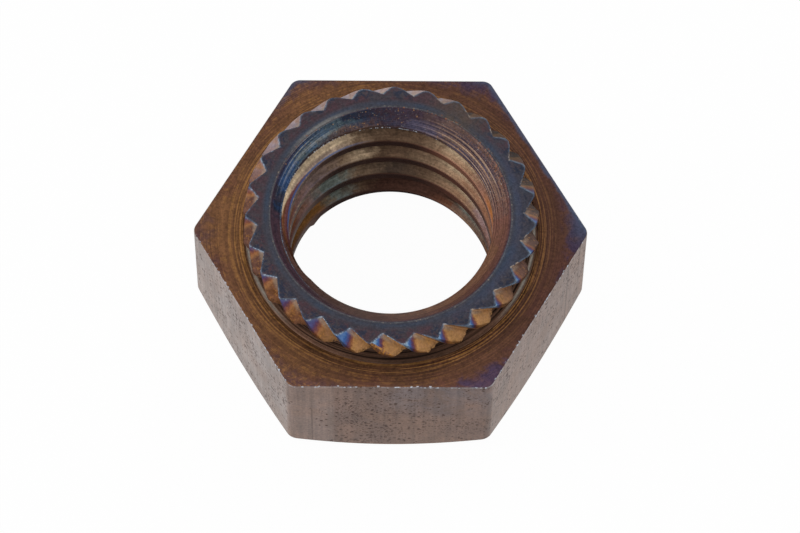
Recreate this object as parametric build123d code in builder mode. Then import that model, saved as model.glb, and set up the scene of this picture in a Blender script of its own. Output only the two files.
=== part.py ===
from build123d import *
import os
from math import cos, radians, sin, tan

# Self clinching nut, M12 x 1.75, turned from 17 mm hexagon bar. Millimetres, +Z up.
# The origin is the centre of the chamfered bottom face, and the clinch collar points along +Z.
# Two of the six flats face along +Y and -Y.

# Hexagonal body
across_flats = 17.0
body_height = 7.0
corner_radius = 0.55
edge_break = 0.08
chamfer_diameter = 16.15
chamfer_angle = 28.5

# Bore at the thread's minor diameter, with a conical lead-in at each end
minor_diameter = 10.106
bottom_sink_diameter = 13.0
collar_sink_diameter = 11.8
sink_angle = 90.0

# Groove turned between the body and the collar, which sinks a little into the body's top face
recess_diameter = 14.5
recess_depth = 0.12
groove_corner_radius = 0.1

# Neck left by that groove, and the clinch ring above it
neck_diameter = 12.9
neck_height = 1.0
ring_height = 0.95
tooth_tip_diameter = 14.3

# Serrations: each notch is a slanted V with a broad facet and a steep one. The metal that it
# pushes out of the ring hangs below it as a pointed lobe.
notch_count = 27
first_notch_angle = -91.45
tooth_land_angle = 1.1
valley_depth = 0.58
valley_shift_angle = -1.7
lobe_reach = 0.21
lobe_shift_angle = 2.0
lobe_foot_angle = 5.0
lobe_lip = 0.06

# How far the notch cutter runs past the metal that it cuts
cutter_margin = 0.35

# Sizes that follow from those above. The turned cuts run out to a radius of across_flats, which
# is well clear of the hexagon's corners.
chamfer_radius = chamfer_diameter / 2
chamfer_rise = (across_flats - chamfer_radius) * tan(radians(chamfer_angle))
minor_radius = minor_diameter / 2
neck_radius = neck_diameter / 2
recess_radius = recess_diameter / 2
tip_radius = tooth_tip_diameter / 2
valley_radius = tip_radius - valley_depth
lobe_radius = tip_radius + lobe_reach
recess_floor = body_height - recess_depth
ring_base = body_height + neck_height
collar_top = ring_base + ring_height
notch_pitch_angle = 360 / notch_count
half_mouth_angle = (notch_pitch_angle - tooth_land_angle) / 2


def polar(radius, angle, height=0.0):
    """Point at a radius from the nut's axis and an angle in degrees about it."""
    return Vector(radius * cos(radians(angle)), radius * sin(radians(angle)), height)


# Corners of one notch, centred on the X axis: the tips of the two teeth beside it, the bottom
# of its V in the collar's top face, and the point of its lobe
near_tip = polar(tip_radius, -half_mouth_angle, collar_top)
far_tip = polar(tip_radius, half_mouth_angle, collar_top)
valley = polar(valley_radius, valley_shift_angle, collar_top)
lobe_tip = polar(lobe_radius, lobe_shift_angle, ring_base + lobe_lip)

# The crease of the V runs down from the valley, parallel to the line from the near tip to the
# lobe's point, so the broad facet is flat. The cutter's section is square to that crease.
crease = (lobe_tip - near_tip).normalized()
crease_run = ring_height / abs(crease.Z)
section = Plane(origin=valley - crease * cutter_margin, x_dir=near_tip - valley, z_dir=crease)
near_corner = section.to_local_coords(near_tip)
far_corner = section.to_local_coords(far_tip)
broad_facet = Vector(near_corner.X, near_corner.Y)
steep_facet = Vector(far_corner.X, far_corner.Y)
broad_side = broad_facet.normalized() * (broad_facet.length + cutter_margin)
steep_side = steep_facet.normalized() * (steep_facet.length + cutter_margin)

with BuildPart() as notch_cutter:
    with BuildSketch(section):
        with BuildLine():
            Polyline((0, 0), broad_side, broad_side + steep_side, steep_side, close=True)
        make_face()
    extrude(amount=crease_run + 2 * cutter_margin)

with BuildPart() as clinch_nut:
    # Hexagon bar with rounded corners
    with BuildSketch():
        RegularPolygon(radius=across_flats / 2, side_count=6, major_radius=False)
        fillet(vertices(), radius=corner_radius)
    extrude(amount=body_height)
    chamfer(faces().sort_by(Axis.Z)[-1].outer_wire().edges(), length=edge_break)

    # Blank of the collar: a disc with a pointed lobe beside each tooth
    with BuildSketch(Plane.XY.offset(body_height)):
        Circle(tip_radius)
        with PolarLocations(0, notch_count, start_angle=first_notch_angle):
            Polygon(
                polar(neck_radius, 0),
                polar(tip_radius, -half_mouth_angle),
                polar(lobe_radius, lobe_shift_angle),
                polar(tip_radius, lobe_foot_angle),
                align=None,
            )
    extrude(amount=collar_top - body_height)

    # Turned groove under the clinch ring, with its recess in the body's face
    with BuildSketch(Plane.XZ) as groove:
        with BuildLine():
            Polyline(
                (neck_radius, ring_base),
                (across_flats, ring_base),
                (across_flats, body_height),
                (recess_radius, body_height),
                (recess_radius, recess_floor),
                (neck_radius, recess_floor),
                close=True,
            )
        make_face()
        fillet(groove.vertices().group_by(Axis.Y)[0], radius=groove_corner_radius)
    revolve(axis=Axis.Z, mode=Mode.SUBTRACT)

    # Chamfer that rounds the hexagon's bottom corners
    with BuildSketch(Plane.XZ):
        with BuildLine():
            Polyline(
                (chamfer_radius, 0),
                (across_flats, 0),
                (across_flats, chamfer_rise),
                close=True,
            )
        make_face()
    revolve(axis=Axis.Z, mode=Mode.SUBTRACT)

    # Serrations
    with PolarLocations(0, notch_count, start_angle=first_notch_angle):
        add(notch_cutter.part, mode=Mode.SUBTRACT)

    # Bore with its two lead-ins
    with Locations((0, 0, collar_top)):
        CounterSinkHole(
            radius=minor_radius,
            counter_sink_radius=collar_sink_diameter / 2,
            counter_sink_angle=sink_angle,
        )
    with Locations(Location((0, 0, 0), (180, 0, 0))):
        CounterSinkHole(
            radius=minor_radius,
            counter_sink_radius=bottom_sink_diameter / 2,
            counter_sink_angle=sink_angle,
        )

clinch_nut.part.label = "clinch_nut"

os.makedirs("parts", exist_ok=True)
export_step(clinch_nut.part, "parts/clinch_nut.step")
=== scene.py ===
import math
from collections import namedtuple

import bpy
import numpy as np
from mathutils import Color, Matrix, Vector


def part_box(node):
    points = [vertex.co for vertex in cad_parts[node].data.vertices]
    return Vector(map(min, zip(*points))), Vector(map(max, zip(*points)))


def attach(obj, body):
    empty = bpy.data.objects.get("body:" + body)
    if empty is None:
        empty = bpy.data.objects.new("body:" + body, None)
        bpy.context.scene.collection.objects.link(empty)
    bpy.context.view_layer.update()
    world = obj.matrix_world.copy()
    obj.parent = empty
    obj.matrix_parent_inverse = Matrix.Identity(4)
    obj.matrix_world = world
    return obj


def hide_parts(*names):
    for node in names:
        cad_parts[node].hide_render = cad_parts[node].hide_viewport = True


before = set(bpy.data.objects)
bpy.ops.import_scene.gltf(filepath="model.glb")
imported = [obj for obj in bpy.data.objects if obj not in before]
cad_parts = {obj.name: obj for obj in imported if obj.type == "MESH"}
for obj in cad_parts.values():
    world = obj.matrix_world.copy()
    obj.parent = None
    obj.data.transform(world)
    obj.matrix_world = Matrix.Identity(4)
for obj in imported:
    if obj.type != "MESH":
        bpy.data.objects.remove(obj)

bl_info = {
    "name": "Self Clinching Nut",
    "version": (1, 0, 0),
    "blender": (4, 5, 0),
    "location": "View3D > Sidebar > Clinch Nut",
    "description": "Builds a heat-tinted self clinching nut with its thread and serrated collar",
    "category": "Add Mesh",
}

# Lengths are in metres, and angles in properties are in radians.
mm = 0.001

NODE = "clinch_nut"
PIECE = "nut_with_thread"
low_corner, high_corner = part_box(NODE)
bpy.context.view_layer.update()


def length(name, description, default):
    """A length property, with its default in millimetres."""
    return bpy.props.FloatProperty(name=name, description=description, default=default * mm, unit="LENGTH")


def angle(name, description, default):
    """An angle property, with its default in degrees."""
    return bpy.props.FloatProperty(
        name=name, description=description, default=math.radians(default), subtype="ANGLE")


def tone(name, description, code):
    """A colour property whose default is a web colour code."""
    parts = [int(code[place:place + 2], 16) / 255 for place in (1, 3, 5)]
    return bpy.props.FloatVectorProperty(
        name=name, description=description, default=parts, size=3, min=0, max=1, subtype="COLOR_GAMMA")


class NutBodySizes(bpy.types.PropertyGroup):
    """Sizes of the hexagonal body and of the groove under the clinch ring."""

    across_flats: length(
        "Across Flats", "Width of the hexagon from flat to flat", (high_corner.y - low_corner.y) / mm)
    body_height: length("Body Height", "Height of the hexagon's top face over the base", 7.0)
    corner_radius: length("Corner Radius", "Radius of the hexagon bar's upright corners", 0.55)
    edge_break: length("Edge Break", "Rounding of the hexagon's top edge", 0.08)
    chamfer_diameter: length("Chamfer Diameter", "Where the corner chamfer meets the base", 16.15)
    chamfer_angle: angle("Chamfer Angle", "Slope of the corner chamfer over the base", 28.5)
    recess_diameter: length("Recess Diameter", "Outside of the recess turned round the neck", 14.5)
    recess_depth: length("Recess Depth", "Depth of that recess in the top face", 0.12)
    groove_corner: length("Groove Corner", "Radius at the neck's foot, and width of the recess's ridge", 0.1)
    neck_diameter: length("Neck Diameter", "Neck between the body and the clinch ring", 12.9)
    neck_height: length("Neck Height", "Height of the neck over the top face", 1.0)


class ClinchRingSizes(bpy.types.PropertyGroup):
    """Sizes of the serrated ring."""

    collar_top: length("Collar Top", "Height of the collar's top face over the base", high_corner.z / mm)
    tip_diameter: length("Tooth Tip Diameter", "Diameter over the tips of the teeth", 14.3)
    notch_count: bpy.props.IntProperty(
        name="Notches", description="How many notches are cut round the ring", default=27, min=3)
    first_notch: angle("First Notch", "Direction of the first notch from the X axis", -91.45)
    land: angle("Tooth Land", "Width of a tooth's uncut tip", 1.1)
    valley_depth: length("Valley Depth", "Depth of a notch in the collar's top face", 0.58)
    valley_shift: angle("Valley Shift", "How far a notch's bottom lies off its middle", -1.7)
    lobe_reach: length("Lobe Reach", "How far a lobe stands out past the tooth tips", 0.21)
    lobe_shift: angle("Lobe Shift", "How far a lobe's point lies off the notch's middle", 2.0)
    lobe_lip: length("Lobe Lip", "Thickness of a lobe at its point", 0.06)
    rim: length("Rim Rounding", "Rounding of the collar's outer top edge", 0.035)
    tip_rounding: length("Tip Rounding", "How far a tooth's tip is rounded off", 0.05)
    far_rounding: length("Far Rounding", "How much further the tips on the far side are rounded off", 0.24)
    foot_wear: length("Foot Wear", "How far the lobes' thin lower edges are torn back", 0.045)
    valley_rounding: length("Valley Rounding", "Rounding in the bottom of a notch", 0.03)
    unevenness: angle("Unevenness", "How far the notches stray from their even places", 0.25)
    drift: angle("Drift", "How far the notches on the left lie behind their even places", 1.0)


class BoreSizes(bpy.types.PropertyGroup):
    """Sizes of the thread and of its two lead-ins."""

    minor_diameter: length("Minor Diameter", "Diameter over the thread's crests", 10.106)
    runout_start: length("Run-out Start", "Height at which the last groove starts to fade out", 7.9)
    runout_end: length("Run-out End", "Height at which the last groove has faded out", 8.35)
    major_diameter: length("Major Diameter", "Diameter at the thread's roots", 12.0)
    pitch: length("Pitch", "Rise of the thread in one turn", 1.75)
    crest_height: length("Crest Height", "Height of a crest's middle on the far side, along +Y", 6.71)
    top_sink_diameter: length("Top Sink", "Diameter of the lead-in in the collar's top face", 11.8)
    bottom_sink_diameter: length("Bottom Sink", "Diameter of the lead-in in the base", 13.0)
    burr_angle: angle("Burr Angle", "Where a burr stands into the bore at its lower edge", 141.5)
    burr_height: length("Burr Height", "How far that burr stands into the bore", 0.1)


class NutTones(bpy.types.PropertyGroup):
    """Colours of the steel and of its heat tints, as they look on a screen."""

    # The pale grey of the left flats is painted light, and the taupe of the front flat is partly painted
    # shade
    flat_pale_lit: tone("Flats, Pale", "Lightest grey of the hexagon's flats", "#a59a96")
    flat_grey: tone("Flats, Grey", "Usual grey of the flats", "#93827b")
    flat_taupe_shaded: tone("Flats, Taupe", "Browner grey of the front flat", "#76625a")
    flat_rust: tone("Flats, Rust", "Faint rust bloom on the flats", "#8f715e")
    flat_slate: tone("Flats, Slate", "Bluish grey bloom on the flats", "#6e6a70")
    pit: tone("Pits", "Small pits in the flats", "#49332b")
    face_left: tone("Face, Left", "Brown of the hexagon's top face on the left", "#65452d")
    face_right: tone("Face, Right", "Darker brown of the top face on the right", "#482f24")
    face_gold: tone("Face, Gold", "Golden turning marks on the top face", "#8a6236")
    face_red: tone("Face, Red Brown", "Red brown near the top face's edges", "#4d2f2a")
    face_indigo: tone("Face, Indigo", "Indigo patches at the top face's corners", "#322a42")
    edge_blue: tone("Edge, Blue", "Slate blue along the top face's edge", "#3c4458")
    groove_dark: tone("Groove, Dark", "Dark brown of the groove", "#33221a")
    groove_brown: tone("Groove, Brown", "Lighter brown rings in the groove", "#866552")
    groove_pale: tone("Groove, Pale", "Grey sheen in the recess at both sides", "#aaa69c")
    collar_maroon: tone("Collar, Maroon", "Maroon patches on the collar's top", "#412d33")
    collar_slate: tone("Collar, Slate", "Usual slate of the collar's top", "#3a363b")
    collar_blue: tone("Collar, Blue", "Bluest slate of the collar's top", "#303b4b")
    collar_brown: tone("Collar, Brown", "Brown stretch on the far right of the collar", "#483e37")
    # The rim's pale and cream tones are painted highlights on burred edges
    rim_highlight: tone("Rim, Pale", "Bright burr along the teeth's edges", "#c3ccd6")
    rim_blue: tone("Rim, Blue", "Pale blue sheen along edges and crests", "#62788e")
    cream_burr_highlight: tone("Rim, Cream", "Pale brown burr of the teeth on the right", "#9b8a7a")
    facet_blue: tone("Facet, Blue", "Blue at the top of a tooth's facet", "#385c94")
    # The ice blue is a painted glint at the very tip of a tooth
    facet_ice_glint: tone("Facet, Ice", "Pale blue at the very tip of a tooth", "#86a4be")
    facet_purple: tone("Facet, Purple", "Purple below that blue", "#52354e")
    facet_rust: tone("Facet, Rust", "Red brown below the purple", "#7e4e35")
    facet_gold: tone("Facet, Gold", "Gold of a tooth's facet", "#ae8150")
    facet_amber: tone("Facet, Amber", "Amber of the narrow facets", "#b07a38")
    facet_lilac: tone("Facet, Lilac", "Pale lilac of the far teeth's facets", "#978990")
    facet_tan: tone("Facet, Tan", "Tan in the bottom of a notch", "#94806f")
    facet_umber: tone("Facet, Umber", "Dark brown of the teeth on the far right", "#342a24")
    facet_chestnut: tone("Facet, Chestnut", "Brown of the teeth on the near left", "#70472a")
    facet_mauve: tone("Facet, Mauve", "Brown violet of the teeth at both sides", "#664539")
    facet_dusk: tone("Facet, Dusk", "Dark brown of the teeth on the right", "#4d3a34")
    collar_navy: tone("Collar, Navy", "Dark navy patches on the collar's top", "#242b3c")
    # Grey dust on the collar's inner edge, painted lighter as a sheen
    collar_dust_sheen: tone("Collar, Dust", "Grey dust along the collar's inner edge", "#6b6d6c")
    sink_blue: tone("Lead-in, Blue", "Blue on the left of the lead-in", "#2f4c78")
    sink_teal: tone("Lead-in, Teal", "Grey teal on the far left of the lead-in", "#4b595f")
    sink_plum: tone("Lead-in, Plum", "Dark plum on the far side of the lead-in", "#372a33")
    sink_maroon: tone("Lead-in, Maroon", "Maroon on the near left of the lead-in", "#4c3742")
    sink_rust: tone("Lead-in, Rust", "Rust brown on the right of the lead-in", "#7a5348")
    sink_brown: tone("Lead-in, Brown", "Brown on the near side of the lead-in", "#694a40")
    sink_copper: tone("Lead-in, Copper", "Lighter brown on the near right of the lead-in", "#906750")
    sink_dust: tone("Lead-in, Dust", "Dusty brown on the right of the lead-in", "#604d48")
    sink_violet: tone("Lead-in, Violet", "Violet lines on the right of the lead-in", "#4a4659")
    thread_tan: tone("Thread, Tan", "Tan of the thread's flanks", "#8b7862")
    thread_clay: tone("Thread, Clay", "Warmer tan of the flanks on the right", "#866856")
    thread_pale: tone("Thread, Pale", "Pale tan of the flanks on the left", "#b09c82")
    thread_olive: tone("Thread, Olive", "Olive brown of the flanks", "#625040")
    thread_mauve: tone("Thread, Mauve", "Brown grey of the second flank on the left", "#6f5e5c")
    thread_teal: tone("Thread, Teal", "Teal grey of the lower flanks", "#5a605b")
    thread_ochre: tone("Thread, Ochre", "Ochre of the lowest flank on the left", "#74502c")
    thread_blue: tone("Thread, Blue", "Blue line along the last crest", "#2f4f80")
    thread_chestnut: tone("Thread, Chestnut", "Brown of the crests on the right", "#80594a")
    thread_umber: tone("Thread, Umber", "Dark brown of the flanks on the far side", "#47372b")
    # The crests' dark brown is partly painted shade
    thread_crest: tone("Thread, Crest", "Dark brown of the crests", "#33211b")
    thread_rust: tone("Thread, Rust", "Rust brown of the last flank on the left", "#6a422d")
    thread_lilac: tone("Thread, Lilac", "Lilac grey of a lower flank on the left", "#75605a")
    thread_orange: tone("Thread, Orange", "Orange streak on the right", "#b87328")


class NutStage(bpy.types.PropertyGroup):
    """Camera and surroundings."""

    elevation: angle("Elevation", "How steeply the camera looks down", 63.65)
    roll: angle("Roll", "How far the camera is turned about its own axis", -0.908)
    yaw: angle("Yaw", "How far the nut is turned from the camera's right", 0.567)
    distance: length("Distance", "From the camera to the hexagon's top face", 230.13)
    aim_right: length("Aim Right", "How far the nut's middle stands to the right of the aim", -0.466)
    aim_up: length("Aim Up", "How far the nut's middle stands over the aim", 1.748)
    lens: bpy.props.FloatProperty(
        name="Lens", description="Focal length in millimetres on a 36 mm sensor", default=209.34)


SENSOR_WIDTH = 36.0
CLIP_START, CLIP_END = 0.01, 20.0


# Directions round the nut in degrees, as the photo shows it: 90 is the far side. What leans to
# the left or to the far side starts where the cosine of the way from there passes these values.
LEFT, FAR, NEAR_RIGHT = 200, 88, 310
LEFT_START, FAR_START = 0.25, 0.3

# How unlike each other the notches are, as shares of their usual sizes
NOTCH_SEED = 12
NOTCH_SPREAD = 0.45
FAR_SHALLOWER = 0.16
DEPTH_SPREAD = 0.05
REACH_SPREAD = 0.25
NEAR_RIGHT_SLANT = 0.35

# The extra rounding of the far tips grows from a start over a span of that cosine. Most of a
# tooth's rounding is gone at this depth under the collar's top.
ROUNDING_START, ROUNDING_SPAN = 0.15, 0.5
ROUNDING_LOSS = 0.85
ROUNDING_DEPTH = 0.9 * mm

# Foot of a lobe, measured along the ring from its point
LOBE_FOOT_ANGLE = math.radians(3.0)

# The ring's torn lower edge: how many places round it differ, and how high the tears reach
TEAR_SEED = 7
TEAR_PLACES = 430
TEAR_HEIGHT = 0.16 * mm
LEAST_TEAR = 0.35

# Points that close together belong to one row or one surface
HAIR = 0.001 * mm
MERGE_DISTANCE = 1e-7
ROW_STEP = 0.0001 * mm

# How finely the mesh is divided: columns round the ring and in a notch's parts, rows up the ring
# and its rim, steps in a rounded corner, columns round the bore, and steps in a turn of thread
COLUMNS_PER_NOTCH = 36
BROAD_COLUMNS = 12
LAND_COLUMNS = 3
RING_ROWS = 22
RIM_ROWS = 4
CORNER_STEPS = 4
BORE_COLUMNS = 480
THREAD_STEPS = 360

# Rows of points on the top face, on the collar's top inside the tooth tips, and under the ring as
# shares of the way from the neck to the tips
FACE_ROWS = (8.1 * mm, 7.6 * mm)
COLLAR_ROWS = [inset * mm for inset in (0.07, 0.13, 0.22, 0.35, 0.5, 0.65, 0.8, 0.95, 1.1)]
UNDERSIDE_ROWS = (0.3, 0.6, 0.8, 0.92)
BLANK_MIDDLE = 5.0 * mm

# The recess has a rounded lip, and a low ridge inside its wall that slopes down to the floor. A
# small bevel joins the neck to the ring's underside.
LIP = 0.02 * mm
RIDGE_FOOT = 0.35 * mm
UNDERCUT = 0.03 * mm

# Where the hexagon starts on the top face, how far inside the tips the notches still move points
# of the collar's top, and how far from the neck they start to move those under the ring
HEXAGON_START = 7.5 * mm
COLLAR_STILL = 0.95 * mm
NECK_STILL = 0.05 * mm

# The run-out's last tip over the tool's inside
SHORTEST_TIP = 0.05 * mm

# The burr's ends and middle round the bore in degrees, half its height, and how deep in the wall
# it starts
BURR_ENDS = (-7, 0, 2)
BURR_HALF_HEIGHT = 0.35 * mm
BURR_ROOT = 0.3 * mm

# How far a cutting tool runs past the metal, and how far it overlaps the bore
TOOL_MARGIN = 1.0 * mm
TOOL_OVERLAP = 0.2 * mm
THREAD_OVERLAP = 0.3 * mm

# Slope of the thread's flanks, and the width of its flat root as a share of the pitch
THREAD_FLANK_ANGLE = math.radians(30)
ROOT_SHARE = 0.125

# Edges between faces that meet more steeply than this stay sharp
SMOOTH_ANGLE = math.radians(28)


def ring_base(body):
    return body.body_height + body.neck_height


def polar(radius, angle, height):
    return np.array([radius * math.cos(angle), radius * math.sin(angle), height])


def lean(angle, direction, start=0.0):
    """1 in a direction, falling to 0 where the cosine of the way from it is down to a start."""
    return max(0.0, math.cos(angle - math.radians(direction)) - start) / (1 - start)


def notch_frames(body, ring):
    """The three corners of each notch in the collar's top face and the point of its lobe."""
    step = math.tau / ring.notch_count
    half = (step - ring.land) / 2
    tip = ring.tip_diameter / 2
    top, foot = ring.collar_top, ring_base(body) + ring.lobe_lip
    rng = np.random.default_rng(NOTCH_SEED)
    frames = []
    for index in range(ring.notch_count):
        jitter = rng.normal(0, NOTCH_SPREAD, 6)
        even = ring.first_notch + index * step
        middle = even - ring.drift * lean(even, LEFT, LEFT_START) + jitter[0] * ring.unevenness
        shallower = FAR_SHALLOWER * lean(even, FAR, FAR_START)
        depth = ring.valley_depth * (1 - shallower + DEPTH_SPREAD * jitter[1])
        valley_angle = middle + ring.valley_shift + jitter[2] * ring.unevenness
        reach = ring.lobe_reach * (1 + REACH_SPREAD * jitter[3])
        slant = ring.lobe_shift * (1 + NEAR_RIGHT_SLANT * lean(even, NEAR_RIGHT))
        frames.append({
            "middle": middle,
            "near": polar(tip, middle - half, top),
            "far": polar(tip, middle + half, top),
            "valley": polar(tip - depth, valley_angle, top),
            "lobe": polar(tip + reach, middle + slant + jitter[4] * ring.unevenness, foot)})
    return frames


def soft_min(a, b, reach):
    """The lower of two lengths, rounded off where they cross."""
    h = np.clip(reach - np.abs(a - b), 0, None) / reach
    return np.minimum(a, b) - h * h * reach / 4


def soft_max(a, b, reach):
    return -soft_min(-a, -b, reach)


def angle_about(angle, middle):
    """Angle from a middle, between minus and plus half a turn."""
    return (angle - middle + math.pi) % math.tau - math.pi


def plane_radius(normal, point, angle, height):
    """Radius at which the ray at that angle and height meets a plane, or a very large one."""
    along = normal[0] * np.cos(angle) + normal[1] * np.sin(angle)
    return (normal @ point - normal[2] * height) / np.maximum(along, 1e-3)


def outward(normal, point):
    """A unit normal that points away from the nut's axis."""
    normal = normal / np.linalg.norm(normal)
    return normal if normal[:2] @ point[:2] > 0 else -normal


def notch_planes(notch):
    """Normals of a notch's broad and steep facets, and the direction of the crease between."""
    crease = notch["lobe"] - notch["near"]
    crease = crease / np.linalg.norm(crease)
    broad = outward(np.cross(notch["near"] - notch["valley"], crease), notch["valley"])
    steep = outward(np.cross(notch["far"] - notch["valley"], crease), notch["valley"])
    return broad, steep, crease


def blank_radius(frames, ring, angle):
    """The ring before its notches are cut: a disc with a pointed lobe at each notch."""
    tip = ring.tip_diameter / 2
    radius = np.full_like(angle, tip)
    for notch in frames:
        near = math.atan2(notch["near"][1], notch["near"][0])
        lobe = math.atan2(notch["lobe"][1], notch["lobe"][0])
        reach = math.hypot(*notch["lobe"][:2]) - tip
        offset = angle_about(angle, lobe)
        rise = np.where(offset < 0, 1 - offset / angle_about(near, lobe), 1 - offset / LOBE_FOOT_ANGLE)
        radius = np.maximum(radius, tip + reach * np.clip(rise, 0, 1))
    return radius


def tooth_rounding(ring, angle, height):
    """Rounding of the teeth: larger on the far side, and nearly none down at the lobes."""
    far = np.clip((np.cos(angle - math.radians(FAR)) - ROUNDING_START) / ROUNDING_SPAN, 0, 1)
    drop = np.clip((ring.collar_top - height) / ROUNDING_DEPTH, 0, 1)
    return (ring.tip_rounding + ring.far_rounding * far) * (1 - ROUNDING_LOSS * drop)


def torn_edge(body, ring, angle, height):
    """How far the thin metal at the ring's lower edge is torn back at an angle."""
    depth = np.abs(np.random.default_rng(TEAR_SEED).normal(0, 1, TEAR_PLACES))
    place = (angle / math.tau % 1) * TEAR_PLACES
    torn = np.interp(place, np.arange(TEAR_PLACES + 1), np.append(depth, depth[0]))
    low = np.clip(1 - (height - ring_base(body)) / TEAR_HEIGHT, 0, 1)
    return ring.foot_wear * np.clip(torn - LEAST_TEAR, 0, 2) * low


def ring_radius(frames, body, ring, angle, height):
    """Outer radius of the serrated ring at an angle and a height."""
    radius = blank_radius(frames, ring, angle)
    rounding = tooth_rounding(ring, angle, height)
    reach = math.tau / ring.notch_count
    for notch in frames:
        broad, steep, _ = notch_planes(notch)
        offset = angle_about(angle, notch["middle"])
        close = (offset > -reach) & (offset < 2 * reach)
        a, h = angle[close], height[close]
        cut = soft_max(
            plane_radius(broad, notch["valley"], a, h),
            plane_radius(steep, notch["valley"], a, h),
            ring.valley_rounding)
        radius[close] = soft_min(radius[close], cut, rounding[close])
    return radius - torn_edge(body, ring, angle, height)


def tooth_corners(notch, ring, height):
    """Where the near tip, the valley and the far tip of a notch are at a height."""
    _, _, crease = notch_planes(notch)
    run = crease * ((height - ring.collar_top) / crease[2])
    valley = notch["valley"] + run
    side = (notch["far"] - notch["valley"])[:2]
    base = valley[:2]
    square, b = side @ side, base @ side
    reach = (-b + math.sqrt(b * b - square * (base @ base - (ring.tip_diameter / 2) ** 2))) / square
    return notch["near"] + run, valley, base + side * reach


def column_angles(frames, ring, columns, height):
    """Moves evenly spaced columns so that some of them follow the teeth's edges at a height."""
    step = math.tau / ring.notch_count
    followed = (LAND_COLUMNS / 2, LAND_COLUMNS / 2 + BROAD_COLUMNS, COLUMNS_PER_NOTCH - LAND_COLUMNS / 2)
    marks, angles = [], []
    for index, notch in enumerate(frames):
        middle = ring.first_notch + index * step
        for mark, point in zip(followed, tooth_corners(notch, ring, height)):
            marks.append(middle - step / 2 + mark / COLUMNS_PER_NOTCH * step)
            angles.append(middle + angle_about(math.atan2(point[1], point[0]), middle))
    marks, angles = np.array(marks), np.array(angles)
    marks = np.concatenate([marks - math.tau, marks, marks + math.tau])
    angles = np.concatenate([angles - math.tau, angles, angles + math.tau])
    return np.interp(angle_about(columns, ring.first_notch) + ring.first_notch, marks, angles)


def arc(steps):
    """Angles of a quarter of a turn in equal steps."""
    return [math.pi / 2 * step / steps for step in range(steps + 1)]


def turned_section(body, ring):
    """Radius and height of each ring of points on the nut's outside, from the base to the top."""
    wall = body.across_flats / 2
    rise = (wall - body.chamfer_diameter / 2) * math.tan(body.chamfer_angle)
    top, edge, corner = body.body_height, body.edge_break, body.groove_corner
    floor = top - body.recess_depth
    recess, neck, tip = body.recess_diameter / 2, body.neck_diameter / 2, ring.tip_diameter / 2
    base = ring_base(body)
    ridge = (body.recess_depth - LIP) / corner
    section = [(wall, rise)]
    section += [
        (wall - edge * (1 - math.cos(a)), top - edge * (1 - math.sin(a))) for a in arc(CORNER_STEPS)]
    section += [(radius, top) for radius in FACE_ROWS]
    section += [(recess + LIP, top), (recess + LIP * 0.3, top - LIP * 0.3), (recess, top - LIP)]
    section += [
        (recess - corner * math.sin(a), floor + corner * (1 - math.cos(a)) * ridge)
        for a in arc(CORNER_STEPS)]
    section += [(neck + RIDGE_FOOT, floor)]
    section += [
        (neck + corner * (1 - math.sin(a)), floor + corner * (1 - math.cos(a))) for a in arc(CORNER_STEPS)]
    section += [(neck, base - UNDERCUT), (neck + UNDERCUT, base)]
    section += [(neck + share * (tip - neck), base) for share in UNDERSIDE_ROWS]
    return section


def extrude_to(radius, height, last):
    """Pulls the selected face up to a height and scales it to a radius."""
    old_radius, old_height = last
    bpy.ops.mesh.extrude_region_move(TRANSFORM_OT_translate={"value": (0, 0, height - old_height)})
    share = radius / old_radius
    bpy.ops.transform.resize(value=(share, share, 1), center_override=(0, 0, height))


def build_blank(body, ring):
    """A turned blank: one round face, pulled up ring by ring along the section."""
    bpy.ops.object.select_all(action="DESELECT")
    last = (body.chamfer_diameter / 2, 0.0)
    bpy.ops.mesh.primitive_circle_add(
        vertices=ring.notch_count * COLUMNS_PER_NOTCH, radius=last[0], fill_type="NGON")
    nut = bpy.context.object
    nut.name = PIECE
    bpy.ops.object.mode_set(mode="EDIT")
    base, top = ring_base(body), ring.collar_top
    tip = ring.tip_diameter / 2
    rows = [(tip, base + (top - ring.rim - base) * row / RING_ROWS) for row in range(RING_ROWS + 1)]
    rim = [
        (tip - ring.rim * (1 - math.cos(a)), top - ring.rim * (1 - math.sin(a)))
        for a in arc(RIM_ROWS)[1:]]
    face = [(tip - inset, top) for inset in COLLAR_ROWS]
    for radius, height in turned_section(body, ring) + rows + rim + face + [(BLANK_MIDDLE, top)]:
        extrude_to(radius, height, last)
        last = (radius, height)
    bpy.ops.object.mode_set(mode="OBJECT")
    return nut


def read_points(mesh):
    points = np.empty(len(mesh.vertices) * 3)
    mesh.vertices.foreach_get("co", points)
    return points.reshape(-1, 3)


def write_points(mesh, points):
    mesh.vertices.foreach_set("co", points.ravel())
    mesh.update()


def round_place(points):
    """Radius, angle and height of each point."""
    return np.hypot(points[:, 0], points[:, 1]), np.arctan2(points[:, 1], points[:, 0]), points[:, 2]


def hexagon_radius(body, angle):
    """Radius of the rounded hexagon at an angle, with a corner on the X axis."""
    sixth = math.pi / 6
    offset = np.abs((angle + sixth) % (math.pi / 3) - sixth)
    apothem = body.across_flats / 2
    flat = apothem / np.cos(sixth - offset)
    middle = (apothem - body.corner_radius) / math.cos(sixth)
    reach = np.clip(body.corner_radius ** 2 - (middle * np.sin(offset)) ** 2, 0, None)
    corner = middle * np.cos(offset) + np.sqrt(reach)
    turn = math.atan2(body.corner_radius * math.sin(sixth), middle + body.corner_radius * math.cos(sixth))
    return np.where(offset < turn, corner, flat)


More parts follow.
